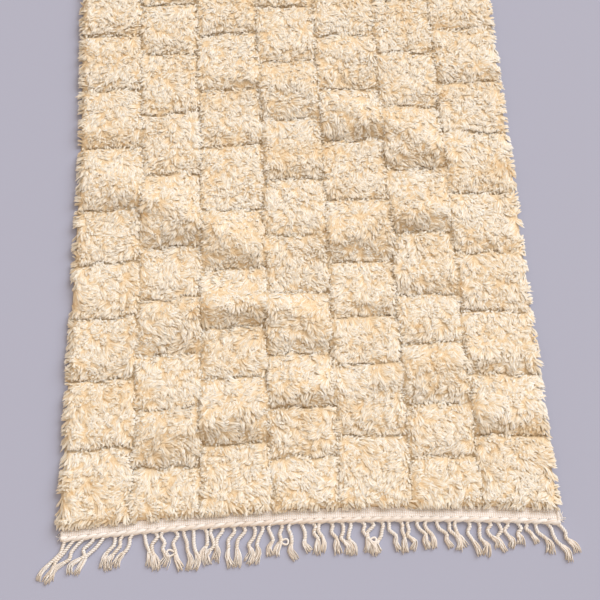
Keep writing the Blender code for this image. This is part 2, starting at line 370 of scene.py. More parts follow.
def to_line(tree, x, y):
    """Distance to the nearest place on these carved lines, and the way towards it."""
    places = np.stack([np.ravel(x), np.ravel(y)], 1)
    found = [tree.find((*place, 0)) for place in places]
    gap = np.array([hit[2] for hit in found])
    way = np.array([hit[0][:2] for hit in found]) - places
    return gap.reshape(np.shape(x)), way / np.maximum(gap.reshape(-1, 1), 1e-6)


def body_height(long_gap, cross_gap, edge_gap):
    """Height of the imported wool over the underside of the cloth, by its distance to the carved
    lines that run along the rug, to those across it, and to the outline."""
    carved = np.maximum(
        LONG_DEPTH * (1 - eased(long_gap / LONG_REACH)),
        CROSS_DEPTH * (1 - eased(cross_gap / CROSS_REACH)))
    rounded = eased(edge_gap / EDGE_REACH) ** 0.5
    return BED_EDGE_HEIGHT + (BED_HEIGHT - carved - BED_EDGE_HEIGHT) * rounded


bed_finish, tree, shader = new_finish("packed_wool", tint(236, 208, 166), 0.95, 0.2)
# Colour and bump share one noise, so the hollows get painted shade over a random tone
grain_and_shade = tree.nodes.new("ShaderNodeTexNoise")
grain_and_shade.inputs["Scale"].default_value = 160.0
grain_and_shade.inputs["Detail"].default_value = 3.0
tree.links.new(tree.nodes.new("ShaderNodeTexCoord").outputs["Object"], grain_and_shade.inputs["Vector"])
shade = tree.nodes.new("ShaderNodeValToRGB")
shade.color_ramp.elements[0].position = 0.3
shade.color_ramp.elements[0].color = tint(216, 184, 142)
shade.color_ramp.elements[1].position = 0.7
shade.color_ramp.elements[1].color = tint(240, 220, 188)
tree.links.new(grain_and_shade.outputs["Fac"], shade.inputs["Fac"])
tree.links.new(shade.outputs["Color"], shader.inputs["Base Color"])
bump = tree.nodes.new("ShaderNodeBump")
bump.inputs["Distance"].default_value = 0.003
tree.links.new(grain_and_shade.outputs["Fac"], bump.inputs["Height"])
tree.links.new(bump.outputs["Normal"], shader.inputs["Normal"])


def crest_over(x, y):
    """Height that the creases add at these places."""
    total = np.zeros(np.shape(x))
    near_end = np.interp(0.0, inner_x, near_edge)
    for x_from, along_from, x_to, along_to, bow, height in CREASES:
        run = (x - x_from) / (x_to - x_from)
        crest = near_end + along_from + run * (along_to - along_from)
        crest = crest + bow * 4.0 * run * (1.0 - run)
        beyond = y - crest
        fade = eased(3.0 * run) * eased(3.0 * (1.0 - run))
        width = np.where(beyond > 0, CREASE_FAR, CREASE_NEAR)
        total += fade * height * np.cos(np.clip(beyond / width, -1, 1) * math.pi / 2) ** 2
    return total


def roll_over(x, y):
    """Height that the squares add or lose as they roll over their near edges."""
    total = np.zeros(np.shape(x))
    _, _, near, far = edges_at(x, y)
    share = columns_left_of(x, y)
    along = (y - near) / (far - near)
    for column, rolls in enumerate(ROLLS):
        left, right, _, _ = edges_at(0.0, inner_y)
        middle_x = left + COLUMN_LINES[column:column + 2].mean() * (right - left)
        _, _, near_y, far_y = edges_at(middle_x, inner_y)
        cut = read_at(across_rug.astype(float), middle_x, inner_y) > 0.5
        begins = np.flatnonzero(cut[1:] & ~cut[:-1])
        closes = np.flatnonzero(cut[:-1] & ~cut[1:])
        lines = (inner_y[(begins + closes + 1) // 2] - near_y[begins]) / (far_y - near_y)[begins]
        lines = np.concatenate([[0.0], lines, [1.0]])
        square = np.clip(np.searchsorted(lines, along) - 1, 0, len(rolls) - 1)
        beyond = (along - lines[square]) * (far - near)
        ahead = (lines[square + 1] - along) * (far - near)
        amount = np.array(rolls)[square] / FIFTHS
        drop = (NEAR_DROP * (square > 0) + ROLL_DROP * amount) * (1 - eased(beyond / NEAR_ROLL))
        drop += FAR_DROP * (1 - eased(ahead / FAR_ROLL))
        crest = np.cos(np.clip(beyond / NEAR_ROLL - ROLL_CREST, -1, 1) * math.pi / 2) ** 2
        inside = (share >= column) & (share < column + 1)
        total += np.where(inside, ROLL_RISE * amount * crest - drop, 0.0)
    return total


long_gaps, _ = to_line(long_lines, mesh_x, mesh_y)
cross_gaps, _ = to_line(cross_lines, mesh_x, mesh_y)
wool_height = fold_lift + body_height(long_gaps, cross_gaps, depth_in - BED_INSET)
wool_height += crest_over(mesh_x, mesh_y) * eased(depth_in / CREASE_FADE)
wool_height += softened(roll_over(mesh_x, mesh_y), ROLL_SOFTNESS)


def bed_top(x, y):
    """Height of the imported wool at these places, a little under the roots of the locks."""
    return read_at(wool_height, x, y) - BED_SINK


bed = slab_between(
    BED_COLUMNS, BED_ROWS, 4, BED_INSET, bed_top,
    lambda x, y: read_at(fold_lift, x, y) + CLOTH_THICKNESS * BED_FOOT)
knot_bed = piece_from(bed, "knot_bed", bed_finish)
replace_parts(knot_bed, "pile_field")

# Pile. Long locks of thick, loosely spun wool, knotted in rows and cut by hand, then carved along
# grooves into seven columns of squares. The nap leans towards the near end and swirls a little.

LOCK_SPACING = 0.0115
LOCK_ROWS_APART = LOCK_SPACING * math.sqrt(3) / 2
LOCK_SCATTER = 0.32
LOCK_SPREAD = 0.56
LOCK_GATHER = 0.28
STRANDS_IN_LOCK = 6
ROOT_INSET = 0.007
ROOT_STRAY = 0.002
ROOT_DEPTH = 0.002

# The nap leans this way and swirls: the size of each swirl, how much it turns the nap, and its
# seed. Each lock, each strand in it and each curl strays a little more on its own
NAP = (0.03, -0.5)
NAP_SWIRLS = ((0.085, 0.50, 20), (0.030, 0.42, 30))
LOCK_STRAY = 0.10
STRAND_STRAY = 0.07
LOCK_CURL = 0.0045
OWN_CURL = 0.0015
LEAN_LEAST = 0.35
LEAN_MOST = 1.2

STRAND_SIDES = 3
STRAND_REACH = 0.0190
STRAND_REACH_VARIES = (0.7, 1.3)
STRAND_RADIUS = 0.0030
STRAND_RADIUS_VARIES = (0.7, 1.15)
STRAND_FLATNESS = 0.4
STRAND_ROLL = 0.25
STAND_PROUD = 0.0041
STAND_VARIES = (0.45, 1.15)

# Beside a groove or the outline a strand leans towards it and reaches a little over it, and beside
# the outline it also leaves its lock and curls less
GROOVE_CLEAR = 0.0012
GROOVE_PULL = 0.75
GROOVE_PULL_REACH = 0.010
GROOVE_STEADIES = 0.7
GROOVE_OVERHANG = 0.0005
GROOVE_ROOM_LEAST = 0.003
EDGE_PULL = 0.95
EDGE_LOOSENS = 0.8
EDGE_STRAIGHTENS = 0.7
EDGE_OVERHANG = 0.0048
END_OVERHANG = 0.0035
OVERHANG_VARIES = (0.75, 1.05)
SHARE_LEAST = 0.05

# Tone from 0, brown, to 1, white: its middle, and its swells over the rug, which are partly random
# tone and partly painted light and shade of the nap; how much each lock and strand strays from it;
# and the painted light that a high strand gains and the painted shade that a low one and one beside
# a groove take
TONE_MIDDLE = 0.60
TONE_AND_SHADE_SWELL = 0.15
TONE_AND_SHADE_SWELL_SIZE = 0.15
LOCK_TONE_STRAY = 0.09
STRAND_TONE_STRAY = 0.06
LIGHT_AND_SHADE_BY_STAND = 0.45
MIDDLE_STAND = 0.85
GROOVE_PAINTED_SHADE = 0.5
GROOVE_PAINTED_SHADE_REACH = 0.005

# The wool is shaded as soft round locks: how far each corner faces as its lock does and not as its
# own strand, how round a lock is, and how far its tips turn down
NORMAL_EASE = 0.92
FACING_SOFTNESS = 0.004
LOCK_ROUNDNESS = 0.26
TIP_DROOP = 0.2

# Along a strand, from its root to its tip: how far it has leaned, risen and curled, how thick it
# is, and how high it stands where it falls over an edge
STRAND_LEAN = np.array((0.0, 0.68, 1.0))
STRAND_RISE = np.array((0.0, 1.0, 0.85))
STRAND_FALL = np.array((0.0, 0.90, -0.10))
STRAND_CURL = np.array((0.0, 0.45, 1.0))
STRAND_GIRTH = np.array((0.8, 1.0, 0.0))


def unit_tube(stations, sides, pointed):
    """A straight tube of radius 1 with a ring at each whole height: its corners and triangles."""
    tube = bmesh.new()
    ring = bmesh.ops.create_circle(tube, segments=sides, radius=1.0)["verts"]
    edges = list(tube.edges)
    bmesh.ops.edgeloop_fill(tube, edges=edges)
    for _ in range(stations - 1):
        grown = bmesh.ops.extrude_edge_only(tube, edges=edges)["geom"]
        ring = [item for item in grown if isinstance(item, bmesh.types.BMVert)]
        edges = [item for item in grown if isinstance(item, bmesh.types.BMEdge)]
        bmesh.ops.translate(tube, verts=ring, vec=(0, 0, 1))
    if pointed:
        bmesh.ops.pointmerge(tube, verts=ring, merge_co=(0, 0, stations - 1))
    else:
        bmesh.ops.edgeloop_fill(tube, edges=edges)
    bmesh.ops.triangulate(tube, faces=tube.faces)
    bmesh.ops.recalc_face_normals(tube, faces=tube.faces)
    tube.verts.index_update()
    corners = np.array([vert.co for vert in tube.verts])
    triangles = np.array([[vert.index for vert in face.verts] for face in tube.faces])
    tube.free()

    # The operators may list triangles in any order, so they are sorted, each from its first corner
    start = triangles.argmin(1)[:, None]
    triangles = np.take_along_axis(triangles, (start + np.arange(3)) % 3, axis=1)
    return corners, triangles[np.lexsort(triangles.T)]


def unit_vectors(vectors):
    """The same directions, each one long."""
    return vectors / np.maximum(np.linalg.norm(vectors, axis=-1, keepdims=True), 1e-9)


def tubes(name, centres, radii, flank, tone_and_shade, sides, pointed, flatness=1.0, facing=None):
    """One mesh of many tubes: centres (tube, station, 3), radii (tube, station), a side way each.

    Its map runs from root to tip upwards, and across by each tube's own tone_and_shade value."""
    count, stations = radii.shape
    corners, triangles = unit_tube(stations, sides, pointed)
    station = corners[:, 2].round().astype(int)
    ahead = unit_vectors(np.gradient(centres, axis=1))
    across = unit_vectors(flank - (flank * ahead).sum(-1, keepdims=True) * ahead)
    upward = np.cross(ahead, across)
    out = corners[None, :, 0, None] * across[:, station]
    out = out + flatness * corners[None, :, 1, None] * upward[:, station]
    points = centres[:, station] + radii[:, station, None] * out
    faces = triangles[None] + (np.arange(count) * len(corners))[:, None, None]
    data = bpy.data.meshes.new(name)
    data.vertices.add(count * len(corners))
    data.vertices.foreach_set("co", points.astype(np.float32).ravel())
    data.loops.add(faces.size)
    data.loops.foreach_set("vertex_index", faces.astype(np.int32).ravel())
    data.polygons.add(faces.size // 3)
    data.polygons.foreach_set("loop_start", np.arange(0, faces.size, 3, dtype=np.int32))
    data.update(calc_edges=True)
    width = 0.006
    u = tone_and_shade[:, None] + width * corners[None, :, 0]
    v = np.broadcast_to(0.02 + 0.96 * station / (stations - 1), u.shape)
    chart = np.stack([u, v], -1).reshape(-1, 2)[faces.ravel()]
    data.uv_layers.new(name="OFBake").data.foreach_set("uv", chart.astype(np.float32).ravel())
    if facing is not None:
        own = np.zeros(count * len(corners) * 3, np.float32)
        data.vertices.foreach_get("normal", own)
        own = own.reshape(count, len(corners), 3)
        eased_normals = unit_vectors(own * (1 - NORMAL_EASE) + facing[:, station] * NORMAL_EASE)
        data.normals_split_custom_set_from_vertices(eased_normals.reshape(-1, 3))
    return data


def strand_colour(tree, shader, along, tones, fibres, furrow_shade):
    """Colour along a strand, from root to tip, times each strand's own tone_and_shade value across
    the map, and darker in the furrows between its fibres, painted shade there."""
    chart = tree.nodes.new("ShaderNodeUVMap")
    chart.uv_map = "OFBake"
    split = tree.nodes.new("ShaderNodeSeparateXYZ")
    tree.links.new(chart.outputs["UV"], split.inputs["Vector"])
    blend = tree.nodes.new("ShaderNodeMix")
    blend.data_type = "RGBA"
    blend.blend_type = "MULTIPLY"
    blend.inputs["Factor"].default_value = 1.0
    for stops, source, target in ((along, "Y", 6), (tones, "X", 7)):
        shade = tree.nodes.new("ShaderNodeValToRGB")
        ramp = shade.color_ramp
        while len(ramp.elements) < len(stops):
            ramp.elements.new(0.5)
        for element, (position, colour) in zip(ramp.elements, stops):
            element.position = position
            element.color = colour
        tree.links.new(split.outputs[source], shade.inputs["Fac"])
        tree.links.new(shade.outputs["Color"], blend.inputs[target])
    fibre = tree.nodes.new("ShaderNodeCombineXYZ")
    for source, scale, target in (("X", fibres, 0), ("Y", 1.6, 1)):
        stretch = tree.nodes.new("ShaderNodeMath")
        stretch.operation = "MULTIPLY"
        stretch.inputs[1].default_value = scale
        tree.links.new(split.outputs[source], stretch.inputs[0])
        tree.links.new(stretch.outputs[0], fibre.inputs[target])
    # The fibre noise darkens the furrows between the fibres, painted shade there
    streak = tree.nodes.new("ShaderNodeTexNoise")
    streak.noise_dimensions = "2D"
    streak.inputs["Scale"].default_value = 1.0
    streak.inputs["Detail"].default_value = 1.0
    tree.links.new(fibre.outputs["Vector"], streak.inputs["Vector"])
    shade = tree.nodes.new("ShaderNodeValToRGB")
    shade.color_ramp.elements[0].position = 0.38
    shade.color_ramp.elements[0].color = furrow_shade
    shade.color_ramp.elements[1].position = 0.56
    shade.color_ramp.elements[1].color = (1.0, 1.0, 1.0, 1.0)
    tree.links.new(streak.outputs["Fac"], shade.inputs["Fac"])
    shaded_furrows = tree.nodes.new("ShaderNodeMix")
    shaded_furrows.data_type = "RGBA"
    shaded_furrows.blend_type = "MULTIPLY"
    shaded_furrows.inputs["Factor"].default_value = 1.0
    tree.links.new(blend.outputs[2], shaded_furrows.inputs[6])
    tree.links.new(shade.outputs["Color"], shaded_furrows.inputs[7])
    tree.links.new(shaded_furrows.outputs[2], shader.inputs["Base Color"])


pile_finish, tree, shader = new_finish("pile_wool", tint(240, 220, 186), 0.85, 0.25)
# Each strand darkens and warms towards its root: painted shade deep in the pile
strand_colour(
    tree, shader,
    along=((0.0, tint(245, 226, 196)), (0.5, tint(249, 244, 233)), (1.0, tint(248, 247, 246))),
    tones=((0.0, tint(216, 187, 150)), (0.2, tint(242, 229, 209)), (0.5, tint(247, 244, 240)),
           (1.0, tint(251, 252, 254))),
    # The furrow colour is painted shade between the fibres
    fibres=200.0, furrow_shade=tint(242, 227, 206))

rng = np.random.default_rng(11)
rows = np.arange(field_low.y, field_high.y, LOCK_ROWS_APART)
steps = np.arange(field_low.x, field_high.x, LOCK_SPACING)
lock_x, lock_y = np.meshgrid(steps, rows)
lock_x = lock_x + LOCK_SPACING / 2 * (np.arange(len(rows)) % 2)[:, None]
lock_x = lock_x + rng.uniform(-LOCK_SCATTER, LOCK_SCATTER, lock_x.shape) * LOCK_SPACING
lock_y = lock_y + rng.uniform(-LOCK_SCATTER, LOCK_SCATTER, lock_y.shape) * LOCK_SPACING
lock_x, lock_y = lock_x.ravel(), lock_y.ravel()
kept = inside_by(lock_x, lock_y)[0] > ROOT_INSET
lock_x, lock_y = lock_x[kept], lock_y[kept]
locks = len(lock_x)

lean = np.tile(np.array(NAP), (locks, 1))
for size, share, seed in NAP_SWIRLS:
    lean[:, 0] += share * drift(lock_x, lock_y, size, seed)
    lean[:, 1] += share * drift(lock_x, lock_y, size, seed + 1)
lean += rng.normal(0, LOCK_STRAY, lean.shape)
# The swells are partly random tone and partly painted light and shade of the nap
lock_tone_and_shade = TONE_MIDDLE + TONE_AND_SHADE_SWELL * drift(lock_x, lock_y, TONE_AND_SHADE_SWELL_SIZE, 40)
lock_tone_and_shade += rng.normal(0, LOCK_TONE_STRAY, locks)

strand_lock = np.repeat(np.arange(locks), STRANDS_IN_LOCK)
turn = rng.uniform(0, math.tau, locks)[strand_lock]
turn += np.tile(np.arange(STRANDS_IN_LOCK) * math.tau / STRANDS_IN_LOCK, locks)
spread = LOCK_SPACING * LOCK_SPREAD * np.sqrt(rng.uniform(0.1, 1.0, len(turn)))
root_x = lock_x[strand_lock] + spread * np.cos(turn)
root_y = lock_y[strand_lock] + spread * np.sin(turn)
long_gap, long_way = to_line(long_lines, root_x, root_y)
cross_gap, cross_way = to_line(cross_lines, root_x, root_y)
groove_gap = np.minimum(long_gap, cross_gap)
groove_way = np.where((long_gap < cross_gap)[:, None], long_way, cross_way)
edge_gap, edge_way = inside_by(root_x, root_y)
kept = (groove_gap > GROOVE_CLEAR) & (edge_gap > ROOT_INSET - ROOT_STRAY)
strand_lock, turn, spread, root_x, root_y, groove_gap, groove_way, edge_gap, edge_way = (
    values[kept] for values in (
        strand_lock, turn, spread, root_x, root_y, groove_gap, groove_way, edge_gap, edge_way))
strands = len(strand_lock)
from_heart = np.stack([np.cos(turn), np.sin(turn)], 1)

groove_near = (1 - eased(groove_gap / GROOVE_PULL_REACH))[:, None]
edge_near = (1 - eased((edge_gap - ROOT_INSET) / EDGE_REACH))[:, None]
gathered = LOCK_GATHER / STRAND_REACH * spread[:, None] * from_heart
strand_lean = lean[strand_lock] + rng.normal(0, STRAND_STRAY, (strands, 2))
strand_lean -= gathered * (1 - EDGE_LOOSENS * edge_near)
strand_lean *= 1 - GROOVE_STEADIES * groove_near
strand_lean += GROOVE_PULL * groove_near * groove_way
strand_lean += EDGE_PULL * edge_near * edge_way
amount = np.clip(np.linalg.norm(strand_lean, axis=1), LEAN_LEAST, LEAN_MOST)
lean_way = unit_vectors(strand_lean)
reach = STRAND_REACH * amount * rng.uniform(*STRAND_REACH_VARIES, strands)

# A strand that leans to a groove ends in it, and one at the outline ends just beyond it
groove_share = (lean_way * groove_way).sum(1)
room = np.maximum(groove_gap + GROOVE_OVERHANG, GROOVE_ROOM_LEAST)
room /= np.maximum(groove_share, SHARE_LEAST)
reach = np.where(groove_share > SHARE_LEAST, np.minimum(reach, room), reach)
edge_share = (lean_way * edge_way).sum(1)
overhang = np.where(np.abs(edge_way[:, 1]) > 0.5, END_OVERHANG, EDGE_OVERHANG)
room = edge_gap + overhang * rng.uniform(*OVERHANG_VARIES, strands)
room /= np.maximum(edge_share, SHARE_LEAST)
reach = np.where(edge_share > SHARE_LEAST, np.minimum(reach, room), reach)
longest = STRAND_REACH_VARIES[1] * STRAND_REACH
reach = np.where(edge_near[:, 0] > 0.5, np.clip(room, reach, longest), reach)

root_z = read_at(wool_height, root_x, root_y) - ROOT_DEPTH
stand = rng.uniform(*STAND_VARIES, strands)
rise = STAND_PROUD * stand
curl = rng.normal(0, LOCK_CURL, locks)[strand_lock] + rng.normal(0, OWN_CURL, strands)
curl *= 1 - EDGE_STRAIGHTENS * edge_near[:, 0]
flank = np.stack([-lean_way[:, 1], lean_way[:, 0], rng.normal(0, STRAND_ROLL, strands)], 1)
climb = STRAND_RISE[None] * (1 - edge_near) + STRAND_FALL[None] * edge_near
centres = np.zeros((strands, len(STRAND_LEAN), 3))
centres[:, :, 0] = root_x[:, None] + (lean_way[:, 0] * reach)[:, None] * STRAND_LEAN
centres[:, :, 1] = root_y[:, None] + (lean_way[:, 1] * reach)[:, None] * STRAND_LEAN
centres[:, :, 2] = root_z[:, None] + rise[:, None] * climb
centres += (curl[:, None] * STRAND_CURL)[:, :, None] * flank[:, None, :]
centres[:, :, 2] = np.maximum(centres[:, :, 2], STRAND_RADIUS * 0.8)
radii = STRAND_RADIUS * STRAND_GIRTH[None] * rng.uniform(*STRAND_RADIUS_VARIES, (strands, 1))
# High strands are made paler, painted light, and low ones and those by a groove browner, painted
# shade
tone_and_shade = lock_tone_and_shade[strand_lock] + LIGHT_AND_SHADE_BY_STAND * (stand - MIDDLE_STAND)
tone_and_shade -= GROOVE_PAINTED_SHADE * (1 - eased(groove_gap / GROOVE_PAINTED_SHADE_REACH))
tone_and_shade = np.clip(tone_and_shade + rng.normal(0, STRAND_TONE_STRAY, strands), 0.03, 0.97)
slope_y, slope_x = np.gradient(softened(wool_height, FACING_SOFTNESS), READ_STEP)
facing = np.stack(
    [-read_at(slope_x, root_x, root_y), -read_at(slope_y, root_x, root_y), np.ones(strands)], 1)
facing[:, :2] += LOCK_ROUNDNESS * from_heart
facing = np.repeat(facing[:, None], len(STRAND_LEAN), axis=1)
facing[:, :, :2] += TIP_DROOP * lean_way[:, None] * (STRAND_LEAN[None, :, None] - 0.3)
facing = unit_vectors(facing)

column_of = np.clip(columns_left_of(root_x, root_y).astype(int), 0, COLUMNS - 1)
for column in range(COLUMNS):
    own = column_of == column
    name = f"pile_column_{column + 1}"
    data = tubes(name, centres[own], radii[own], flank[own][:, None], tone_and_shade[own], STRAND_SIDES, True,
                 STRAND_FLATNESS, facing[own])
    made = piece_of(data, name, pile_finish)
    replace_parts(made, "pile_field")

# Headings. A narrow band of flat weave past the last row of knots at each end, of the same
# undyed wool, beaten tight so that its ribs stand close together.

HEADING_RIBS = 420
HEADING_ROWS = 6
RIB_HEIGHT = 0.0005
HEADING_LIFT = 0.0020
HEADING_CLIMB = 0.0035
HEADING_TUCK = 0.006

heading_finish, tree, shader = new_finish("heading_wool", tint(250, 244, 238), 0.85, 0.25)
# The dark colour is painted shade in the hollows between the ribs
woven(tree, shader, rib_across=0.0044, rib_along=0.0036, height=0.0008,
      dark=tint(234, 218, 206), light=tint(255, 253, 251))


def edge_line(node, outward, steps):
    """The two long edges of a packed strip along one end, read at its middle height, at steps
    across it.
    """
    low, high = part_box(node)
    found = bvhtree.BVHTree.FromPolygons(
        [vert.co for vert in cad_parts[node].data.vertices],
        [tuple(face.vertices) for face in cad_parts[node].data.polygons])
    height = (low.z + high.z) / 2
    margin = 0.0005
    across = np.linspace(low.x + margin, high.x - margin, steps)
    inner = [found.ray_cast(Vector((x, -outward * FAR_OFF, height)), Vector((0, outward, 0)))[0].y
             for x in across]
    outer = [found.ray_cast(Vector((x, outward * FAR_OFF, height)), Vector((0, -outward, 0)))[0].y
             for x in across]
    return across, np.array(inner), np.array(outer)


end_pieces = {-1: [], 1: []}
for end, outward in (("near", -1), ("far", 1)):
    across, inner, outer = edge_line(f"heading_{end}", outward, 60)
    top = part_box(f"heading_{end}")[1].z
    inner = inner - outward * HEADING_TUCK
    strip = bmesh.new()
    for columns, level, ribbed in ((HEADING_RIBS, top, 1), (HEADING_RIBS // 10, 0.0, 0)):
        laid = bmesh.ops.create_grid(strip, x_segments=columns, y_segments=HEADING_ROWS, size=0.5)
        for vert in laid["verts"]:
            share = vert.co.x + 0.5
            x = across[0] + share * (across[-1] - across[0])
            begin, close = np.interp(x, across, inner), np.interp(x, across, outer)
            out = vert.co.y + 0.5
            rib = RIB_HEIGHT * math.cos(share * HEADING_RIBS * math.pi)
            lift = HEADING_LIFT + HEADING_CLIMB * out + rib
            vert.co = (x, begin + out * (close - begin), level + ribbed * lift)
    bmesh.ops.bridge_loops(strip, edges=[edge for edge in strip.edges if edge.is_boundary])
    bmesh.ops.recalc_face_normals(strip, faces=strip.faces)
    made = piece_from(strip, f"heading_band_{end}", heading_finish)
    end_pieces[outward].append(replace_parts(made, f"heading_{end}"))

# Twined edges. Two thick plies of white wool twisted round each other along the outer edge of
# each heading. They lock the weave, and a fringe cord leaves from under every turn. The heading
# ends at each corner in a short whipped selvedge, and the cut threads fray there.

CORDS = 51
CORD_PITCH = 0.0198
EDGE_STATIONS = CORDS * 9
EDGE_SIDES = 8
EDGE_PLY_RADIUS = 0.0040
EDGE_PLY_OFFSET = 0.0024
EDGE_SWELL = 0.2
SELVEDGE_STATIONS = 24
SELVEDGE_RADIUS = 0.0024
SELVEDGE_OFFSET = 0.0014
SELVEDGE_INSET = 0.002
SELVEDGE_TURNS = 2.5
FRAYS = 20
FRAY_STATIONS = 9
FRAY_RADIUS = 0.0008
FRAY_LENGTHS = (0.009, 0.018)
FRAY_TURN = 0.9
FRAY_BEND = 2.4
UPRIGHT = np.array((0.0, 0.0, 1.0))

twined_finish, tree, shader = new_finish("twined_wool", tint(250, 240, 222), 0.85, 0.3)
strand_colour(
    tree, shader,
    along=((0.0, tint(242, 239, 237)), (0.5, tint(240, 236, 233)), (1.0, tint(242, 239, 237))),
    tones=((0.0, tint(246, 240, 234)), (1.0, tint(255, 255, 255))),
    # The furrow colour is painted shade between the fibres
    fibres=500.0, furrow_shade=tint(244, 234, 224))


def twisted(line, offset, turns, start):
    """The middle line of one ply that winds round a line of points."""
    ahead = unit_vectors(np.gradient(line, axis=0))
    across = unit_vectors(np.cross(ahead, UPRIGHT))
    upward = np.cross(across, ahead)
    angle = (start + turns)[:, None]
    return line + offset[:, None] * (np.cos(angle) * across + np.sin(angle) * upward)


for end, outward in (("near", -1), ("far", 1)):
    node = f"twined_edge_{end}"
    rng = np.random.default_rng(60 + outward)
    across, inner, outer = edge_line(node, outward, 200)
    x = np.linspace(across[0], across[-1], EDGE_STATIONS)
    y = np.interp(x, across, (inner + outer) / 2)
    rest = EDGE_PLY_RADIUS + EDGE_PLY_OFFSET
    line = np.stack([x, y, np.full(len(x), rest)], 1)
    turns = (x - (x[0] + x[-1]) / 2) / (2 * CORD_PITCH) * math.tau
    offset = np.full(len(x), EDGE_PLY_OFFSET)
    plies = np.stack([twisted(line, offset, turns, start) for start in (0.0, math.pi)])
    radii = EDGE_PLY_RADIUS * (1 + EDGE_SWELL * np.sin(np.stack([turns, turns + math.pi])))
    radii *= 1 + 0.06 * drift(plies[:, :, 0], plies[:, :, 1], 0.03, 50)
    cord_mesh = tubes("plies", plies, radii, UPRIGHT, np.array((0.4, 0.7)), EDGE_SIDES, False)
    _, pile_side, _ = edge_line(f"heading_{end}", outward, 2)
    selvedges, frays = [], []
    for corner, way in ((0, -1), (-1, 1)):
        path = np.zeros((SELVEDGE_STATIONS, 3))
        path[:, 0] = across[corner] - way * SELVEDGE_INSET
        path[:, 1] = np.linspace(pile_side[corner], outer[corner], SELVEDGE_STATIONS)
        path[:, 2] = rest
        turns = np.linspace(0, SELVEDGE_TURNS * math.tau, SELVEDGE_STATIONS)
        offset = np.full(SELVEDGE_STATIONS, SELVEDGE_OFFSET)
        selvedges += [twisted(path, offset, turns, start) for start in (0.0, math.pi)]
        for _ in range(FRAYS if (end, way) == ("near", 1) else FRAYS // 4):
            gone = np.linspace(0, 1, FRAY_STATIONS)
            angle = rng.uniform(-FRAY_TURN, FRAY_TURN) + rng.uniform(-FRAY_BEND, FRAY_BEND) * gone
            step = rng.uniform(*FRAY_LENGTHS) / FRAY_STATIONS
            fray = np.tile(path[rng.integers(4, SELVEDGE_STATIONS - 2)], (FRAY_STATIONS, 1))
            fray[:, 0] += way * np.cumsum(step * np.cos(angle))
            fray[:, 1] += np.cumsum(step * np.sin(angle))
            fray[:, 2] += rng.uniform(-0.0035, 0.001) * gone
            frays.append(fray)
    selvedges, frays = np.array(selvedges), np.array(frays)
    selvedge_mesh = tubes("selvedges", selvedges, np.full(selvedges.shape[:2], SELVEDGE_RADIUS),
                          UPRIGHT, np.full(len(selvedges), 0.6), 6, False)
    fray_mesh = tubes("frays", frays, np.full(frays.shape[:2], FRAY_RADIUS),
                      UPRIGHT, np.full(len(frays), 0.9), 3, False)
    whole = bmesh.new()
    for part in (cord_mesh, selvedge_mesh, fray_mesh):
        whole.from_mesh(part)
    made = piece_from(whole, f"twined_cord_{end}", twined_finish)
    end_pieces[outward].append(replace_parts(made, node))

# Fringes. The warps left over at each end, twisted in pairs into two-ply cords. Each lies loose
# on the floor and comes apart near its end into a small tassel of single yarns.

CORD_STATIONS = 40
LINE_STATIONS = CORD_STATIONS + 12
PLY_SIDES = 4
PLY_RADIUS = 0.0024
PLY_OFFSET = 0.0021
CORD_TWIST = 0.0102
CORD_KINK = 0.0095
KINK_PLACES = (0.0, 0.17, 0.36, 0.54, 0.75, 1.0)
ROOT_TUCK = 0.005
ROOT_LIFT = 0.0012
YARNS = 13
YARN_SIDES = 3
YARN_STATIONS = 6
YARN_RADIUS = 0.0013
YARN_TAPER = YARN_RADIUS * np.array((1.0, 1.1, 1.1, 1.0, 0.9, 0.7))
YARN_WAVE = 0.0018
YARN_LAYER = 0.0030
YARN_LOOSENESS = 0.0008
TASSEL_ROOT = 0.0028
TASSEL_SPREAD = 0.0080
TASSEL_OVERLAP = 0.004
TWIST_SHARE = 0.64

# Where a cord has sprung into a small kink loop: which end, which cord from the left, counted
# from 0, and how far the loop stands out, to the left (-) or to the right (+)
LOOPS = (
    ("near", 11, -0.018),
    ("near", 22, 0.016),
    ("near", 31, 0.013),
    ("far", 17, 0.015),
)
LOOP_RADIUS = 0.0023
LOOP_DEPTH = 0.36

# The cords lie in tufts, and each row says how many cords a tuft has, where across the rug their
# tassels end and how far past the end of the pile they reach
TUFTS = {
    "near": (
        (3, -0.525, 0.122), (2, -0.470, 0.110), (3, -0.400, 0.102), (3, -0.304, 0.105),
        (1, -0.254, 0.106), (2, -0.234, 0.110), (3, -0.200, 0.098), (2, -0.148, 0.109),
        (2, -0.116, 0.102), (2, -0.072, 0.088), (1, -0.026, 0.094), (3, 0.016, 0.087),
        (1, 0.060, 0.087), (2, 0.086, 0.092), (3, 0.132, 0.092), (3, 0.196, 0.090),
        (2, 0.249, 0.086), (3, 0.302, 0.088), (2, 0.350, 0.104), (3, 0.396, 0.094),
        (1, 0.428, 0.082), (1, 0.462, 0.080), (1, 0.486, 0.101), (1, 0.521, 0.118),
        (1, 0.541, 0.101)),
    "far": (
        (2, -0.519, 0.106), (3, -0.452, 0.116), (1, -0.402, 0.092), (3, -0.356, 0.104),
        (2, -0.300, 0.112), (3, -0.246, 0.098), (3, -0.186, 0.110), (1, -0.150, 0.084),
        (2, -0.118, 0.108), (3, -0.068, 0.100), (2, -0.018, 0.114), (3, 0.036, 0.104),
        (1, 0.076, 0.088), (3, 0.118, 0.112), (2, 0.168, 0.098), (3, 0.220, 0.108),
        (2, 0.270, 0.092), (3, 0.322, 0.112), (1, 0.364, 0.100), (3, 0.412, 0.104),
        (2, 0.470, 0.122), (3, 0.521, 0.100)),
}
TUFT_STEP = 0.0125
TUFT_ROUNDING = 0.006

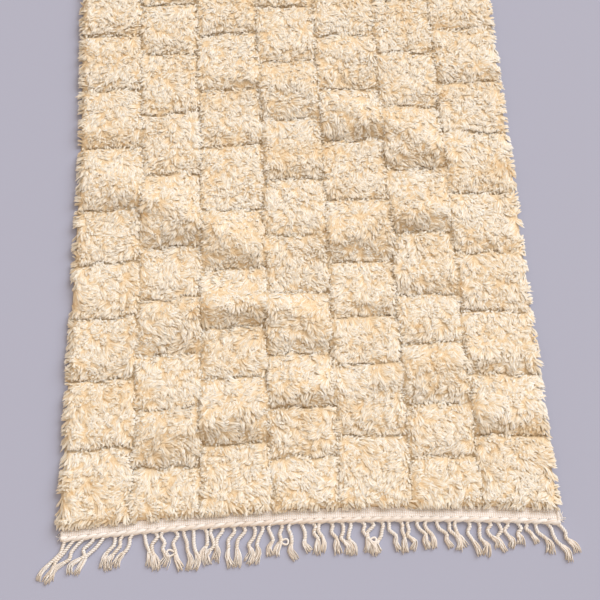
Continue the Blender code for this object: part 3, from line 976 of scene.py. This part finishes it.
fringe_finish, tree, shader = new_finish("fringe_wool", tint(248, 236, 212), 0.85, 0.3)
strand_colour(
    tree, shader,
    along=((0.0, tint(246, 244, 244)), (0.6, tint(246, 243, 241)), (1.0, tint(244, 240, 235))),
    tones=((0.0, tint(240, 230, 218)), (1.0, tint(255, 255, 255))),
    # The furrow colour is painted shade between the fibres
    fibres=300.0, furrow_shade=tint(246, 238, 228))

for end, outward in (("near", -1), ("far", 1)):
    rng = np.random.default_rng(70 + outward)
    across, _, outer = edge_line(f"twined_edge_{end}", outward, 200)
    pile_end = np.interp(0.0, inner_x, near_edge if outward < 0 else far_edge)
    tips = []
    for cords, x, reach in TUFTS[end]:
        for k in range(cords):
            aside = k - (cords - 1) / 2
            past = reach - TUFT_ROUNDING * abs(aside)
            tips.append((x + TUFT_STEP * aside, pile_end + outward * past))
    ply_lines, ply_radii, ply_tones, yarn_lines, yarn_tones = [], [], [], [], []
    for k, (tip_x, tip_y) in enumerate(tips):
        start_x = (across[0] + across[-1]) / 2 + (k - (CORDS - 1) / 2) * CORD_PITCH
        start_y = np.interp(start_x, across, outer) - outward * ROOT_TUCK
        share = np.linspace(0, 1, LINE_STATIONS)
        kinks = rng.uniform(-CORD_KINK, CORD_KINK, len(KINK_PLACES))
        kinks[[0, -1]] = 0.0
        wander = np.interp(share, KINK_PLACES, kinks)
        wander[2:-2] = np.convolve(wander, np.full(5, 0.2), "valid")
        x = start_x + (tip_x - start_x) * (0.35 * share + 0.65 * eased(share)) + wander
        y = start_y + (tip_y - start_y) * share
        z = PLY_RADIUS + PLY_OFFSET + ROOT_LIFT * np.exp(-share * 18)
        line = np.stack([x, y, z], 1)
        length = np.concatenate([[0], np.cumsum(np.linalg.norm(np.diff(line, axis=0), axis=1))])
        twist_end = TWIST_SHARE * length[-1]
        along = np.linspace(0, twist_end, CORD_STATIONS)
        cord = np.stack([np.interp(along, length, line[:, a]) for a in range(3)], 1)
        offset = PLY_OFFSET * np.interp(share, (0, 0.9, 1), (1, 1, 0.8))[-CORD_STATIONS:]
        turns = -along / CORD_TWIST * math.tau
        for start in (0.0, math.pi):
            ply_lines.append(twisted(cord, offset, turns, start + k))
            ply_radii.append(PLY_RADIUS)
            ply_tones.append(rng.uniform(0.45, 0.95))
        tassel = np.linspace(twist_end - TASSEL_OVERLAP, length[-1], YARN_STATIONS)
        heart = np.stack([np.interp(tassel, length, line[:, a]) for a in range(3)], 1)
        ahead = unit_vectors(np.gradient(heart, axis=0))
        side_way = np.cross(ahead, UPRIGHT)
        grown = np.linspace(0, 1, YARN_STATIONS)
        opened = rng.uniform(0.6, 1.25)
        for yarn in range(YARNS):
            place = (yarn - (YARNS - 1) / 2) / (YARNS / 2)
            fan = place * (TASSEL_ROOT + (TASSEL_SPREAD * opened - TASSEL_ROOT) * grown ** 0.6)
            wave = np.sin(grown * rng.uniform(3, 6) + rng.uniform(0, math.tau))
            fan = fan + YARN_WAVE * wave * grown
            layer = YARN_LAYER * (yarn % 2) + YARN_LOOSENESS * rng.normal()
            reach = 1.05 + rng.uniform(-0.14, 0.08)
            own = heart[:1] + (heart - heart[:1]) * reach + side_way * fan[:, None]
            own[:, 2] = np.maximum(YARN_RADIUS + layer + ROOT_LIFT * (1 - grown), YARN_RADIUS)
            yarn_lines.append(own)
            yarn_tones.append(rng.uniform(0.05, 0.95))
        for loop_end, loop_cord, stands in LOOPS:
            if (loop_end, loop_cord) == (end, k):
                round_it = np.linspace(0, 1, CORD_STATIONS)
                loop = np.tile(cord[-3], (CORD_STATIONS, 1))
                loop[:, 0] += stands * np.sin(math.pi * round_it)
                loop[:, 1] += LOOP_DEPTH * abs(stands) * np.sin(math.tau * round_it)
                ply_lines.append(loop)
                ply_radii.append(LOOP_RADIUS)
                ply_tones.append(0.8)
    ply_lines, yarn_lines = np.array(ply_lines), np.array(yarn_lines)
    ply_radii = np.repeat(np.array(ply_radii)[:, None], CORD_STATIONS, axis=1)
    yarn_radii = np.broadcast_to(YARN_TAPER, yarn_lines.shape[:2])
    cord_mesh = tubes("cords", ply_lines, ply_radii, UPRIGHT, np.array(ply_tones), PLY_SIDES, False)
    yarn_mesh = tubes("yarns", yarn_lines, yarn_radii, UPRIGHT, np.array(yarn_tones), YARN_SIDES,
                      False)
    both = bmesh.new()
    both.from_mesh(cord_mesh)
    both.from_mesh(yarn_mesh)
    made = piece_from(both, f"fringe_cords_{end}", fringe_finish)
    end_pieces[outward].append(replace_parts(made, f"fringe_{end}"))

# Studio. A plain pale floor, a broad soft light from beyond the rug a little to its right, and a
# dim even light from all round. The camera looks down the rug from above its near end.

FLOOR_SIZE = 30.0
CAMERA_PLACE = (-0.049, -1.323, 2.418)
CAMERA_LENS = 72.1
CAMERA_TURN = math.radians(-2.91)
CAMERA_DIP = math.radians(66.55)
CAMERA_ROLL = math.radians(0.78)
FILL_STRENGTH = 0.45
FILL_COLOUR = (1.0, 0.785, 0.60, 1.0)

# Each light's name, the way it comes from, how wide it spreads in degrees, strength and colour
LIGHTS = (
    ("key", (0.62, 0.55, 0.72), 50.0, 2.52, (0.94, 1.0, 1.06)),
    ("front", (-0.05, -0.40, 0.92), 50.0, 0.92, (1.0, 0.94, 0.85)),
)

floor_finish = bpy.data.materials.new("floor")
floor_finish.use_nodes = True
shader = floor_finish.node_tree.nodes["Principled BSDF"]
shader.inputs["Base Color"].default_value = tint(166, 168, 187)
shader.inputs["Roughness"].default_value = 0.8
slab = bmesh.new()
bmesh.ops.create_grid(slab, x_segments=1, y_segments=1, size=FLOOR_SIZE / 2)
floor_data = bpy.data.meshes.new("floor")
slab.to_mesh(floor_data)
slab.free()
floor_data.materials.append(floor_finish)
floor = bpy.data.objects.new("floor", floor_data)
bpy.context.scene.collection.objects.link(floor)

world = bpy.data.worlds.new("studio")
world.use_nodes = True
fill = world.node_tree.nodes["Background"]
fill.inputs["Color"].default_value = FILL_COLOUR
fill.inputs["Strength"].default_value = FILL_STRENGTH
bpy.context.scene.world = world

for name, way, spread, strength, colour in LIGHTS:
    light = bpy.data.lights.new(name, "SUN")
    light.angle = math.radians(spread)
    light.energy = strength
    light.color = colour
    lamp = bpy.data.objects.new(name, light)
    lamp.rotation_euler = Vector(way).to_track_quat("Z", "Y").to_euler()
    bpy.context.scene.collection.objects.link(lamp)

camera_data = bpy.data.cameras.new("camera")
camera_data.lens = CAMERA_LENS
camera = bpy.data.objects.new("camera", camera_data)
camera.matrix_world = (
    Matrix.Translation(CAMERA_PLACE)
    @ Matrix.Rotation(CAMERA_TURN, 4, "Z")
    @ Matrix.Rotation(math.pi / 2 - CAMERA_DIP, 4, "X")
    @ Matrix.Rotation(CAMERA_ROLL, 4, "Z"))
bpy.context.scene.collection.objects.link(camera)
bpy.context.scene.camera = camera
bpy.context.scene.view_settings.view_transform = "Standard"
